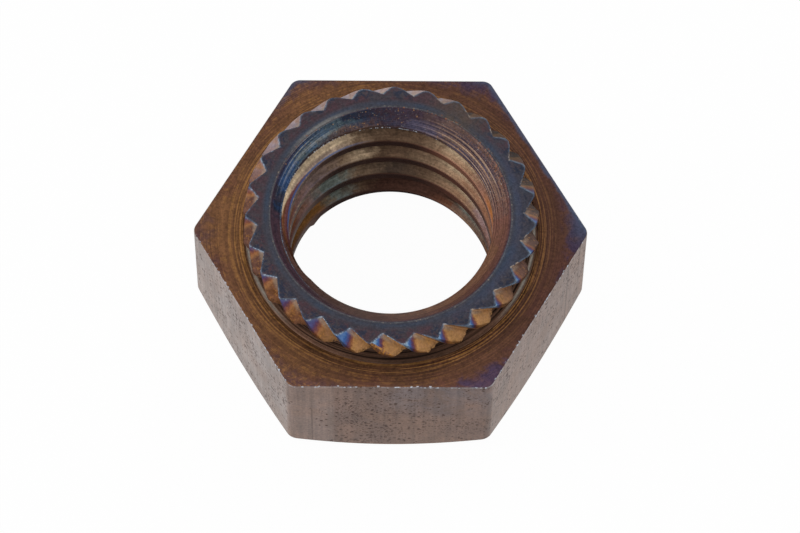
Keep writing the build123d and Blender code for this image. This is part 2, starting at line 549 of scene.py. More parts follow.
def shape_hexagon(points, body):
    """Pulls the round blank's wall out to the hexagon, and the chamfer's edge up its curve."""
    radius, angle, height = round_place(points)
    wall = body.across_flats / 2
    outer = (height < body.body_height + HAIR) & (height > HAIR) & (radius > HEXAGON_START)
    hexagon = hexagon_radius(body, angle)
    share = np.clip((radius - HEXAGON_START) / (wall - body.edge_break - HEXAGON_START), 0, 1)
    slope = math.tan(body.chamfer_angle)
    edge = outer & (np.abs(height - (wall - body.chamfer_diameter / 2) * slope) < HAIR)
    points[edge, 2] = (hexagon[edge] - body.chamfer_diameter / 2) * slope
    scale = np.where(outer, (radius + share * (hexagon - wall)) / radius, 1.0)
    points[:, :2] *= scale[:, None]


def shape_serrations(points, body, ring, frames):
    """Moves the plain ring's points onto the notches' facets and lobes."""
    radius, angle, height = round_place(points)
    base, top = ring_base(body), ring.collar_top
    tip = ring.tip_diameter / 2
    inner = np.where(height > (base + top) / 2, tip - COLLAR_STILL, body.neck_diameter / 2 + NECK_STILL)
    share = np.clip((radius - inner) / (tip - COLLAR_ROWS[0] - inner), 0, 1)
    moved = (height > base - HAIR) & (share > 0)
    levels = np.round(height / ROW_STEP)
    for level in np.unique(levels[moved]):
        row = moved & (levels == level)
        placed = column_angles(frames, ring, angle[row], level * ROW_STEP)
        turned = angle[row] + angle_about(placed, angle[row]) * share[row]
        edge = ring_radius(frames, body, ring, placed, height[row])
        new = radius[row] + (edge - tip) * share[row]
        points[row, 0] = new * np.cos(turned)
        points[row, 1] = new * np.sin(turned)


def thread_cutter(bore, ring):
    """A helical groove tool: the thread's space in section, run round the axis by a screw."""
    major = bore.major_diameter / 2
    inner = bore.minor_diameter / 2 - THREAD_OVERLAP
    root_half = bore.pitch * ROOT_SHARE / 2
    mouth_half = root_half + (major - inner) * math.tan(THREAD_FLANK_ANGLE)
    below = math.ceil(bore.crest_height / bore.pitch) + 1
    start = bore.crest_height + bore.pitch / 2 - below * bore.pitch
    section = [(inner, -mouth_half), (major, -root_half), (major, root_half), (inner, mouth_half)]
    mesh = bpy.data.meshes.new("thread_tool")
    points = [(0.0, radius, start + height) for radius, height in section]
    mesh.from_pydata(points, [(0, 1), (1, 2), (2, 3), (3, 0)], [])
    tool = bpy.data.objects.new("thread_tool", mesh)
    bpy.context.scene.collection.objects.link(tool)
    pick(tool)
    screw = tool.modifiers.new("screw", "SCREW")
    screw.axis = "Z"
    screw.angle = math.tau
    screw.screw_offset = bore.pitch
    screw.iterations = math.ceil(ring.collar_top / bore.pitch) + 2
    screw.steps = screw.render_steps = THREAD_STEPS
    bpy.ops.object.modifier_apply(modifier="screw")
    fade_out_thread(tool.data, bore, start, inner)
    bpy.ops.object.mode_set(mode="EDIT")
    bpy.ops.mesh.select_mode(type="EDGE")
    bpy.ops.mesh.select_all(action="SELECT")
    bpy.ops.mesh.remove_doubles(threshold=MERGE_DISTANCE)
    bpy.ops.mesh.select_all(action="DESELECT")
    bpy.ops.mesh.select_non_manifold()
    bpy.ops.mesh.edge_face_add()
    bpy.ops.mesh.select_all(action="SELECT")
    bpy.ops.mesh.normals_make_consistent(inside=False)
    bpy.ops.object.mode_set(mode="OBJECT")
    return tool


def fade_out_thread(mesh, bore, start, inner):
    """Draws the tool's tip back into the bore over its last turn, where the thread runs out."""
    points = read_points(mesh)
    radius, angle, height = round_place(points)
    share = (angle / math.tau - 0.25) % 1
    turns = share + np.round((height - start) / bore.pitch - share)
    middle = start + turns * bore.pitch
    faded = np.clip((middle - bore.runout_start) / (bore.runout_end - bore.runout_start), 0, 1)
    faded = faded * faded * (3 - 2 * faded)
    tip = radius > (inner + bore.major_diameter / 2) / 2
    shortest = inner + SHORTEST_TIP
    points[:, :2] *= np.where(tip, (radius + (shortest - radius) * faded) / radius, 1.0)[:, None]
    write_points(mesh, points)


def raise_burr(mesh, bore):
    """Draws the lower edge of the bore inwards to a small burr, steep on its far side."""
    points = read_points(mesh)
    radius, angle, height = round_place(points)
    minor = bore.minor_diameter / 2
    around = np.degrees(angle_about(angle, bore.burr_angle))
    rise = np.interp(around, BURR_ENDS, (0, 1, 0))
    rise *= np.clip(1 - np.abs(height - bore.bottom_sink_diameter / 2 + minor) / BURR_HALF_HEIGHT, 0, 1)
    rise[radius > minor + BURR_ROOT] = 0
    points[:, :2] *= (1 - rise * bore.burr_height / radius)[:, None]
    write_points(mesh, points)


def pick(item):
    """Makes one object the only selected and active one."""
    bpy.ops.object.select_all(action="DESELECT")
    item.select_set(True)
    bpy.context.view_layer.objects.active = item


def cut(nut, tool):
    """Cuts a tool out of the nut and removes the tool."""
    pick(nut)
    step = nut.modifiers.new("cut", "BOOLEAN")
    step.operation = "DIFFERENCE"
    step.solver = "MANIFOLD"
    step.object = tool
    bpy.ops.object.modifier_apply(modifier="cut")
    bpy.data.objects.remove(tool)


def cone_tool(low_radius, high_radius, low, high):
    """A round tool between two heights."""
    bpy.ops.object.select_all(action="DESELECT")
    bpy.ops.mesh.primitive_cone_add(
        vertices=BORE_COLUMNS, radius1=low_radius, radius2=high_radius, depth=high - low,
        location=(0, 0, (low + high) / 2))
    bpy.ops.object.transform_apply(location=True, rotation=True, scale=True)
    return bpy.context.object


def cut_bore(nut, bore, ring):
    """Cuts the plain bore, its lead-ins of 90 degrees and the thread."""
    minor, top = bore.minor_diameter / 2, ring.collar_top
    cut(nut, cone_tool(minor, minor, -TOOL_MARGIN, top + TOOL_MARGIN))
    sink = bore.top_sink_diameter / 2
    depth = sink - minor + TOOL_OVERLAP
    cut(nut, cone_tool(sink - depth, sink + TOOL_MARGIN, top - depth, top + TOOL_MARGIN))
    sink = bore.bottom_sink_diameter / 2
    depth = sink - minor + TOOL_OVERLAP
    cut(nut, cone_tool(sink + TOOL_MARGIN, sink - depth, -TOOL_MARGIN, depth))
    cut(nut, thread_cutter(bore, ring))
    raise_burr(nut.data, bore)


class MESH_OT_clinch_nut(bpy.types.Operator):
    """Builds the nut: turned blank, hexagon, serrated ring, lead-ins and thread"""

    bl_idname = "mesh.clinch_nut_add"
    bl_label = "Add Clinch Nut"

    def execute(self, context):
        scene = context.scene
        body, ring, bore = scene.nut_body, scene.nut_ring, scene.nut_bore
        nut = build_blank(body, ring)
        points = read_points(nut.data)
        shape_hexagon(points, body)
        shape_serrations(points, body, ring, notch_frames(body, ring))
        write_points(nut.data, points)
        cut_bore(nut, bore, ring)
        pick(nut)
        bpy.ops.object.mode_set(mode="EDIT")
        bpy.ops.mesh.select_all(action="SELECT")
        bpy.ops.mesh.remove_doubles(threshold=MERGE_DISTANCE)
        bpy.ops.mesh.normals_make_consistent(inside=False)
        bpy.ops.object.mode_set(mode="OBJECT")
        bpy.ops.object.shade_smooth_by_angle(angle=SMOOTH_ANGLE)
        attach(nut, "root")
        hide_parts(NODE)
        return {"FINISHED"}


def linear(tone):
    """A screen colour as the linear values that a shader reads."""
    return [part / 12.92 if part <= 0.04045 else ((part + 0.055) / 1.055) ** 2.4 for part in tone] + [1.0]


class Value:
    """An output in a node graph. Sums and comparisons with it add Math nodes."""

    def __init__(self, graph, socket):
        self.graph = graph
        self.socket = socket

    def __add__(self, other):
        return self.graph.math("ADD", self, other)

    def __sub__(self, other):
        return self.graph.math("SUBTRACT", self, other)

    def __rsub__(self, other):
        return self.graph.math("SUBTRACT", other, self)

    def __mul__(self, other):
        return self.graph.math("MULTIPLY", self, other)

    def __truediv__(self, other):
        return self.graph.math("DIVIDE", self, other)

    def __rtruediv__(self, other):
        return self.graph.math("DIVIDE", other, self)

    def __lt__(self, other):
        return self.graph.math("LESS_THAN", self, other)

    def __gt__(self, other):
        return self.graph.math("GREATER_THAN", self, other)

    def __abs__(self):
        return self.graph.math("ABSOLUTE", self)


class Graph:
    """Adds nodes to a material or a node group, and joins them up."""

    def __init__(self, tree):
        self.tree = tree

    def feed(self, socket, value):
        """Links a value to a socket, or sets the socket to a tone or a number."""
        if isinstance(value, Value):
            self.tree.links.new(value.socket, socket)
        else:
            socket.default_value = linear(value) if isinstance(value, Color) else value

    def add(self, kind, inputs=None, **settings):
        """Adds a node, set out in rows so that the graph can be read."""
        node = self.tree.nodes.new(kind)
        row, column = divmod(len(self.tree.nodes), 12)
        node.location = (column * 190, -row * 320)
        for name, value in settings.items():
            setattr(node, name, value)
        for socket, value in (inputs or {}).items():
            self.feed(node.inputs[socket], value)
        return node

    def values(self, node):
        return [Value(self, socket) for socket in node.outputs]

    def read(self, kind, output, inputs=None, **settings):
        """Adds a node and gives one of its outputs."""
        return Value(self, self.add(kind, inputs, **settings).outputs[output])

    def math(self, operation, *values, clamp=False):
        return self.read("ShaderNodeMath", 0, dict(enumerate(values)), operation=operation, use_clamp=clamp)

    def vector(self, operation, *values):
        return self.read("ShaderNodeVectorMath", 0, dict(enumerate(values)), operation=operation)

    def join(self, x, y, z):
        return self.read("ShaderNodeCombineXYZ", 0, {"X": x, "Y": y, "Z": z})

    def attribute(self, name):
        return self.read("ShaderNodeAttribute", "Fac", attribute_name=name)

    def group(self, name, **inputs):
        """Places a node group and gives its outputs."""
        node = self.add("ShaderNodeGroup", node_tree=bpy.data.node_groups[name])
        for label, value in inputs.items():
            self.feed(node.inputs[label], value)
        return self.values(node)


def highest(value, *others):
    """The highest of some values."""
    for other in others:
        value = value.graph.math("MAXIMUM", value, other)
    return value


def scaled(vector, scale):
    return scale.graph.read("ShaderNodeVectorMath", 0, {0: vector, 3: scale}, operation="SCALE")


def fade(value, start, end):
    """0 up to start, 1 from end on, and smooth between them."""
    inputs = {"Value": value, "From Min": start, "From Max": end}
    return value.graph.read("ShaderNodeMapRange", 0, inputs, interpolation_type="SMOOTHSTEP")


def band(value, middle, reach):
    """1 at a middle, falling smoothly to 0 at a reach from it."""
    return fade(abs(value - middle), reach, 0.0)


def ramp(factor, *stops):
    """A colour ramp from pairs of a position and a tone."""
    node = factor.graph.add("ShaderNodeValToRGB", {"Fac": factor})
    elements = node.color_ramp.elements
    while len(elements) < len(stops):
        elements.new(0.5)
    for element, (position, color) in zip(elements, stops):
        element.position = position
        element.color = linear(color)
    return Value(factor.graph, node.outputs["Color"])


def mix(factor, a, b):
    """The first colour where the factor is 0, and the second where it is 1."""
    return factor.graph.read("ShaderNodeMix", 2, {0: factor, 6: a, 7: b}, data_type="RGBA")


def shade(base, value, low, high):
    """A colour times low where a value is 0, and times high where it is 1."""
    level = value.graph.read("ShaderNodeMapRange", 0, {"Value": value, "To Min": low, "To Max": high})
    return scaled(base, level)


def noise(vector, scale, detail, roughness, distortion=0.0):
    inputs = {
        "Vector": vector, "Scale": scale, "Detail": detail, "Roughness": roughness,
        "Distortion": distortion}
    return vector.graph.read("ShaderNodeTexNoise", "Fac", inputs)


def mottle(position, size, seed=0.0):
    return position.graph.group("mottle", Position=position, Size=size, Seed=seed)[0]


def turning(radius, direction, lines, drift):
    return radius.graph.group(
        "turning marks", Radius=radius, Direction=direction, Lines=lines, Drift=drift)[0]


def specks(position, spacing, size, amount):
    return position.graph.group("specks", Position=position, Spacing=spacing, Size=size, Amount=amount)[0]


def start_group(name, inputs, outputs):
    """A new node group: its graph, its inputs by name, and the sockets of its outputs."""
    tree = bpy.data.node_groups.new(name, "ShaderNodeTree")
    for label, default in inputs.items():
        kind = "NodeSocketFloat" if isinstance(default, float) else "NodeSocketVector"
        tree.interface.new_socket(label, in_out="INPUT", socket_type=kind).default_value = default
    for label, kind in outputs.items():
        tree.interface.new_socket(label, in_out="OUTPUT", socket_type="NodeSocket" + kind)
    g = Graph(tree)
    given = {value.socket.name: value for value in g.values(g.add("NodeGroupInput"))}
    return g, given, g.add("NodeGroupOutput").inputs


# Where a point is on the nut, in millimetres and turns. Thread is 0 in the middle of a crest, and
# coil counts the thread's turns from the last one down. Right and back are along X and Y.
Place = namedtuple("Place", "position direction radius turn height edge thread coil right back")


def make_place_group(body, bore):
    outputs = {name.title(): "Float" for name in Place._fields}
    g, _, out = start_group("nut place", {}, outputs | {"Position": "Vector", "Direction": "Vector"})
    metres = g.read("ShaderNodeTexCoord", "Object")
    position = g.read("ShaderNodeMapping", 0, {"Vector": metres, "Scale": (1 / mm, 1 / mm, 1 / mm)})
    x, y, z = g.values(g.add("ShaderNodeSeparateXYZ", {0: position}))
    side, half = x * math.cos(math.pi / 6), y * 0.5
    turn = g.math("FRACT", g.math("ARCTAN2", y, x) / math.tau)
    rise = (z - bore.crest_height / mm) / (bore.pitch / mm) - turn + 0.75
    place = Place(
        position=position,
        direction=g.vector("NORMALIZE", g.join(x, y, 0.0)),
        radius=g.math("SQRT", x * x + y * y),
        turn=turn,
        height=z,
        edge=body.across_flats / 2 / mm - highest(abs(side + half), abs(side - half), abs(y)),
        thread=g.math("FRACT", rise) - 0.5,
        coil=g.math("FLOOR", rise),
        right=x,
        back=y)
    for socket, value in zip(out, place):
        g.feed(socket, value)


def make_turning_group():
    """Fine rings left by the turning tool."""
    inputs = {"Radius": 0.0, "Direction": (0.0, 0.0, 0.0), "Lines": 6.0, "Drift": 1.5}
    g, given, out = start_group("turning marks", inputs, {"Value": "Float"})
    across = g.join(0.0, 0.0, given["Radius"] * given["Lines"])
    along = scaled(given["Direction"], given["Drift"])
    g.feed(out["Value"], fade(noise(g.vector("ADD", along, across), 1.0, 2.0, 0.6), 0.3, 0.7))


def make_mottle_group():
    """Soft blotches of a size in millimetres."""
    inputs = {"Position": (0.0, 0.0, 0.0), "Size": 1.0, "Seed": 0.0}
    g, given, out = start_group("mottle", inputs, {"Value": "Float"})
    moved = g.vector("ADD", given["Position"], g.join(given["Seed"], 0.0, given["Seed"]))
    g.feed(out["Value"], fade(noise(moved, 1.0 / given["Size"], 4.0, 0.6, 0.6), 0.32, 0.68))


def make_speck_group():
    """Scattered specks: their spacing in millimetres, their size and how many there are as shares."""
    inputs = {"Position": (0.0, 0.0, 0.0), "Spacing": 0.2, "Size": 0.3, "Amount": 0.3}
    g, given, out = start_group("specks", inputs, {"Mask": "Float"})
    cells = g.add("ShaderNodeTexVoronoi", {"Vector": given["Position"], "Scale": 1.0 / given["Spacing"]})
    distance, color = g.values(cells)[:2]
    chance, fatness = g.values(g.add("ShaderNodeSeparateColor", {0: color}))[:2]
    core = g.math("SUBTRACT", 1.0, distance / (given["Size"] * (fatness + 0.35)), clamp=True)
    g.feed(out["Mask"], fade(core, 0.0, 0.5) * (chance < given["Amount"]))


def make_tint_group(tones):
    """The colours of an oxide film as it grows: gold, rust, purple, then blue, and last a pale ice blue that
    is a painted glint at the very tips.
    """
    g, given, out = start_group("heat tint", {"Film": 0.0}, {"Color": "Color"})
    g.feed(out["Color"], ramp(
        given["Film"], (0.0, tones.facet_gold), (0.3, tones.facet_rust), (0.48, tones.facet_purple),
        (0.68, tones.facet_blue), (0.82, tones.facet_ice_glint), (1.0, tones.facet_ice_glint)))


class Coat(Graph):
    """A finish in the making: a material whose colour is laid on in layers."""

    def __init__(self, name, metallic, roughness, sheen=0.2):
        self.material = bpy.data.materials.new(name)
        self.material.use_nodes = True
        super().__init__(self.material.node_tree)
        self.shader = self.tree.nodes["Principled BSDF"].inputs
        self.shader["Metallic"].default_value = metallic
        self.shader["Specular IOR Level"].default_value = sheen
        self.shader["Roughness"].default_value = roughness
        self.place = Place(*self.group("nut place"))
        self.color = None

    def tint(self, tone, mask):
        """Lays a tone over the colour where a mask is."""
        self.color = mix(mask, self.color, tone)

    def shade(self, value, low, high):
        """Darkens or lightens the colour: a value of 0 multiplies it by low, and 1 by high."""
        self.color = shade(self.color, value, low, high)

    def add_grain(self, amount):
        """Darkens and lightens the colour by a fine grain, and gives the grain."""
        grain = fade(noise(self.place.position, 8.5, 3.0, 0.75), 0.34, 0.66)
        self.shade(grain, 1 - amount, 1 + amount)
        return grain

    def finish(self, relief, depth, strength=0.6):
        """Joins the colour, and a relief with its depth in millimetres, to the shader."""
        self.feed(self.shader["Base Color"], self.color)
        bump = {"Height": relief, "Strength": strength, "Distance": depth * mm}
        self.feed(self.shader["Normal"], self.read("ShaderNodeBump", 0, bump))
        return self.material


# Places and heights in the finishes are in millimetres, and fit the nut at its default sizes.
COLLAR_TOP = 8.95

# Grey that dims what the thread mirrors at a grazing angle
THREAD_SHINE = (0.3, 0.3, 0.3, 1.0)

# Height of the edge where the last groove comes through the lead-in, and its rise in one turn
FEATHER_START = 7.912
FEATHER_RISE = 1.11


def make_flats_finish(tones):
    """Matt grey flats: drawing lines up the bar, paler on the left as painted light, a brown front darkened
    as painted shade, and many small pits.
    """
    coat = Coat("matt_flats", 0.5, 0.48)
    place = coat.place
    position, height, right, back = place.position, place.height, place.right, place.back
    lines = noise(coat.vector("MULTIPLY", position, (5.0, 5.0, 0.2)), 1.0, 3.0, 0.65)
    cloud = mottle(position, 1.6)
    # Painted light and shade: paler on the left, and darker and browner on the front flat
    coat.color = mix(fade(right, -7.5, 5.0), tones.flat_pale_lit, tones.flat_grey)
    front = fade(back, -8.1, -8.47)
    coat.tint(tones.flat_taupe_shaded, front)
    smooth = front * fade(right, -2.6, -2.9)
    coat.tint(tones.flat_grey, smooth * 0.5)
    rust = mottle(position, 2.4, 7.0) * 0.38
    coat.tint(tones.flat_rust, rust)
    slate = mottle(position, 1.5, 21.0) * fade(height, 2.6, 5.4)
    bloom = front * fade(right, -1.5, 1.8)
    coat.tint(tones.flat_slate, slate * (bloom * 0.5 + 0.1))
    coat.shade(cloud, 0.9, 1.08)
    coat.shade(fade(lines, 0.3, 0.7), 0.84, 1.15)
    # Scratches on the right flat, and the score down the front one
    along = right * 0.5 + back * math.cos(math.pi / 6)
    scratches = highest(band(along, 2.9, 0.09), band(along, 4.05, 0.07) * 0.7)
    scratches = highest(scratches, band(along, 3.25, 0.06) * 0.45)
    scratches = scratches * fade(right, 6.5, 7.0)
    score = front * band(right, -3.82, 0.07)
    marks = highest(scratches, score * fade(lines, 0.35, 0.6))
    coat.shade(marks, 1.0, 0.55)
    # Pits, crowded on the front flat
    where = mottle(position, 2.2, 3.0)
    crowd = front * (band(right, -0.9, 2.6) * fade(height, 7.2, 4.8))
    amount = fade(where, 0.15, 0.95) * 0.6 + 0.08
    amount = crowd * 0.62 + amount
    amount = amount * (smooth * -0.85 + 1.0)
    small = specks(position, 0.15, 0.52, amount)
    amount = crowd * 0.3 + amount * 0.3
    large = specks(position, 0.24, 0.46, amount)
    pits = highest(small, large)
    coat.tint(tones.pit, pits * 0.95)
    grain = coat.add_grain(0.14)
    # Rust along the bottom, and pale flecks of painted highlight along the upper edge
    bottom = fade(height, 0.55, 0.1)
    coat.tint(tones.flat_rust, bottom * 0.5)
    rim = fade(height, 6.84, 6.96)
    flecks = specks(position, 0.13, 0.6, 0.42)
    flecks = highest(flecks, fade(lines, 0.4, 0.7) * 0.35)
    coat.tint(tones.rim_highlight, flecks * rim)
    relief = lines + grain * 0.4 - pits
    coat.feed(coat.shader["Roughness"], lines * 0.2 + 0.38)
    return coat.finish(relief, 0.012)


def make_face_finish(tones):
    """The hexagon's top face: golden turning arcs, red brown towards the edges, dark corners."""
    coat = Coat("tinted_face", 0.7, 0.45)
    place = coat.place
    position, radius, direction = place.position, place.radius, place.direction
    right, back, edge = place.right, place.back, place.edge
    fine = turning(radius, direction, 13.0, 1.6)
    coarse = turning(radius, direction, 3.4, 0.8)
    cloud = mottle(position, 0.8)
    wide = mottle(position, 2.2, 5.0)
    coat.color = mix(fade(right, -8.5, 7.5), tones.face_left, tones.face_right)
    coat.shade(coarse, 0.88, 1.1)
    coat.shade(cloud, 0.88, 1.12)
    # Red towards the edges, and gold towards the recess, with painted light next to the recess and a thin
    # painted highlight ring
    outer = fade(edge, 1.1, 0.1)
    red = (outer * 0.55 + 0.12) * (wide * 0.9 + 0.1)
    coat.tint(tones.face_red, red)
    inner = fade(radius, 8.3, 7.4)
    golden = (inner * 0.75 + 0.1) * fade(fine, 0.5, 0.9)
    coat.tint(tones.face_gold, golden * fade(right, 14.0, 2.0))
    # Painted light: lightened next to the recess, where the steel mirrors the ring's dark underside
    coat.shade(fade(radius, 7.7, 7.32), 1.0, 1.35)
    # A thin gold ring on the near side just outside the recess, a painted highlight
    ring = band(radius, 7.33, 0.035) * fade(coarse, 0.1, 0.7)
    coat.tint(tones.facet_gold, ring * 0.65 * fade(back, 2.5, -1.0))
    coat.shade(fine, inner * -0.16 + 0.94, inner * 0.16 + 1.06)
    # Dark corners, and edges that turn blue at the right and the back
    corner = fade(radius - cloud * 0.7, 8.25, 9.0)
    at_right = fade(right, -5.0, 4.0)
    coat.tint(tones.face_indigo, corner * (at_right * 0.45 + 0.3))
    blue = fade(right, 8.5, 9.5) * fade(back, -1.2, 0.3)
    coat.tint(tones.edge_blue, blue * 0.7)
    far_right = right * math.cos(math.pi / 6) + back * 0.5
    far_right = fade(cloud * 0.14 + far_right, 8.28, 8.5)
    back_corners = fade(edge, 0.4, 0.05) * band(abs(right), 4.9, 1.3)
    back_corners = back_corners * fade(back, 5.5, 7.5)
    line = highest(far_right * 0.85, back_corners * 0.8)
    coat.tint(tones.edge_blue, line)
    # Short golden arcs, strongest on the left, and a lighter stretch at the near right
    short = mottle(position, 0.35, 9.0)
    arcs = fade(short, 0.45, 0.85) * fade(fine, 0.3, 0.7) * fade(right, 7.0, -3.0)
    coat.tint(tones.face_gold, arcs * 0.36)
    coat.shade(band(place.turn, 0.833, 0.07), 1.0, 1.3)
    grain = coat.add_grain(0.27)
    # Chips along the near edges, painted pale as highlights
    near = fade(edge, 0.09, 0.03) * fade(back, 3.0, -2.0)
    chips = specks(position, 0.15, 0.6, 0.3)
    coat.tint(tones.rim_highlight, near * chips * 0.7)
    relief = fine * 0.7 + grain * 0.4
    coat.feed(coat.shader["Roughness"], grain * 0.25 + 0.33)
    return coat.finish(relief, 0.008)


def make_groove_finish(tones):
    """The groove round the neck: dark brown, with paler rings in the floor of its recess that are partly
    painted light, and painted shade at the front.
    """
    coat = Coat("tinted_groove", 0.2, 0.55)
    place = coat.place
    position, radius, right, back = place.position, place.radius, place.right, place.back
    rings = turning(radius, place.direction, 12.0, 0.8)
    cloud = mottle(position, 1.1, 2.0)
    coat.color = ramp(rings, (0.2, tones.groove_dark), (0.9, tones.groove_brown))
    # Painted light: the outer floor is lightened where the overhanging ring shades it
    outer = fade(radius, 6.95, 7.08)
    coat.tint(tones.groove_brown, outer * (cloud * 0.45 + 0.5))
    left = fade(right, -4.6, -6.4) * fade(back, 1.5, -0.5)
    at_right = fade(right, 5.0, 6.4) * fade(back, 2.5, 0.5)
    sheen = highest(left, at_right) * band(radius, 7.1, 0.13)
    coat.tint(tones.groove_pale, sheen * (cloud * 0.25 + 0.75))
    coat.shade(rings, 0.84, 1.16)
    # More painted light on the outer floor
    coat.shade(fade(radius, 6.95, 7.1), 1.0, 1.25)
    # Painted shade at the front, under the overhanging ring
    coat.shade(band(place.turn, 0.77, 0.13), 1.0, 0.5)
    coat.add_grain(0.16)
    return coat.finish(rings, 0.01)


def make_collar_finish(tones):
    """The collar's top face: slate with maroon patches, and pale burrs along the teeth."""
    coat = Coat("tinted_collar", 0.75, 0.42)
    place = coat.place
    position, radius, turn = place.position, place.radius, place.turn
    cloud = mottle(position, 0.6)
    wide = mottle(position, 1.7, 11.0)
    small = mottle(position, 0.22, 17.0)
    marks = turning(radius, place.direction, 9.0, 1.2)
    at_right = fade(place.right, 1.0, 5.0) * fade(place.back, 5.0, 2.0)
    blue = band(radius, 6.14, 0.3) * (wide * 0.6 + 0.2)
    blue = highest(blue, at_right * (wide * 0.6))
    coat.color = mix(blue, tones.collar_slate, tones.collar_blue)
    # Maroon and navy patches, a brown one at the back right and a pale one at the back left
    maroon = fade(radius, 6.15, 6.5) * fade(cloud * 0.6 + wide * 0.4, 0.2, 0.7)
    maroon = maroon * (at_right * -0.75 + 0.9)
    coat.tint(tones.collar_maroon, maroon * (small * 0.5 + 0.5))
    navy = fade(radius, 6.2, 6.7) * (fade(wide, 0.6, 0.25) * fade(small, 0.75, 0.3))
    coat.tint(tones.collar_navy, navy * 0.75)
    brown = band(turn, 0.165, 0.055) * (cloud * 0.4 + 0.5)
    coat.tint(tones.collar_brown, brown)
    far_left = band(turn, 0.355, 0.07) * band(radius, 6.03, 0.16)
    coat.tint(tones.groove_pale, far_left * 0.25)
    coat.shade(marks, 0.92, 1.08)
    coat.shade(small, 0.9, 1.1)
    middle = band(radius, 6.3, 0.3) * (cloud * 0.5 + 0.5)
    coat.tint(tones.sink_blue, middle * at_right * 0.13)
    rough = fade(radius, 6.45, 6.95) * at_right
    coat.shade(rough, 1.0, 0.8)
    grain = coat.add_grain(0.15)
    # A painted sheen line of grey dust, cream specks of painted highlight, and warm chips along the
    # lead-in's edge
    inner = band(radius, 5.965, 0.05) * (grain * 0.5 + 0.05)
    coat.tint(tones.collar_dust_sheen, inner * (cloud * 0.5 + 0.5))
    coat.tint(tones.sink_maroon, fade(radius, 5.935, 5.905) * 0.5)
    dust = specks(position, 0.09, 0.6, 0.3)
    dust = dust * (band(radius, 5.98, 0.08) * fade(cloud, 0.3, 0.8))
    coat.tint(tones.cream_burr_highlight, dust * 0.4)
    chips = specks(position, 0.1, 0.55, 0.16)
    warm = fade(radius, 6.1, 5.95) * fade(place.back, 1.0, 4.5)
    coat.tint(tones.facet_rust, warm * chips * 0.85)
    add_rim(coat, tones)
    return coat.finish(grain, 0.006)


def add_rim(coat, tones):
    """Lays on the painted blue sheen and the pale, broken burr along the collar's outer edge, painted bright
    as a highlight.
    """
    place = coat.place
    gap, crease, turn = coat.attribute("rim_gap"), coat.attribute("crease_gap"), place.turn
    front = fade(place.back, 1.5, -4.0)
    at_right = fade(abs(coat.math("FRACT", turn + 0.5) - 0.52), 0.26, 0.16)
    ragged = noise(place.position, 11.0, 2.0, 0.7)
    broken = fade(noise(place.position, 2.6, 3.0, 0.7), 0.4, 0.58)
    near = fade(crease, -0.02, 0.06)
    sheen = fade(ragged * 0.14 + gap, 0.2, 0.06)
    sheen = sheen * (near * 0.3 + 0.2)
    coat.tint(tones.rim_blue, sheen * (broken * 0.6 + 0.4))
    # The burr is painted as a pale highlight, cream on the right
    lip = at_right * (near * -0.06 + 0.05)
    width = ragged * 0.17 + gap - lip
    burr = fade(width, 0.13, 0.075)
    strength = (near * -0.5 + 0.98) * (front * 0.35 + 0.55)
    coat.tint(mix(at_right, tones.rim_highlight, tones.cream_burr_highlight), burr * strength * broken)


